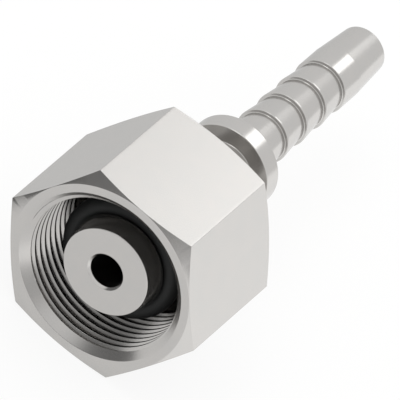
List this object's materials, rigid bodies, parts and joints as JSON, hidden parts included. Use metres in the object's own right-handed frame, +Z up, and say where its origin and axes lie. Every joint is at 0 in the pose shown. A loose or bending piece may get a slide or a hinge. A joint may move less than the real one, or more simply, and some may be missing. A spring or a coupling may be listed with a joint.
{
  "type": "hose nipple",
  "caption": "Turned steel hose nipple with a barbed tail, a coned sealing nose with an O-ring, and a hexagon union nut that swivels on it.",
  "frame": {"origin": "centre of the nipple's nose face", "axes": "+Y along the nipple's axis from the nose to the tail, -Y out of the nut's mouth, +Z up, with a flat of the nut facing down"},
  "size_m": [0.037, 0.0815, 0.032],
  "materials": {
    "nipple_steel": "turned steel with a thin satin zinc-nickel plating",
    "nut_steel": "drawn hexagon steel, turned and threaded, with a thin satin zinc-nickel plating",
    "seal_rubber": "black moulded nitrile rubber, slightly oily"
  },
  "bodies": {
    "nipple": {"nipple_body": "nipple_steel", "o_ring": "seal_rubber"},
    "nut": {"union_nut": "nut_steel"}
  },
  "joints": [
    {"name": "nut_swivel", "type": "hinge", "parent": "nipple", "child": "nut", "pos_m": [0, 0, 0], "axis": [0, 1, 0], "continuous": true}
  ]
}
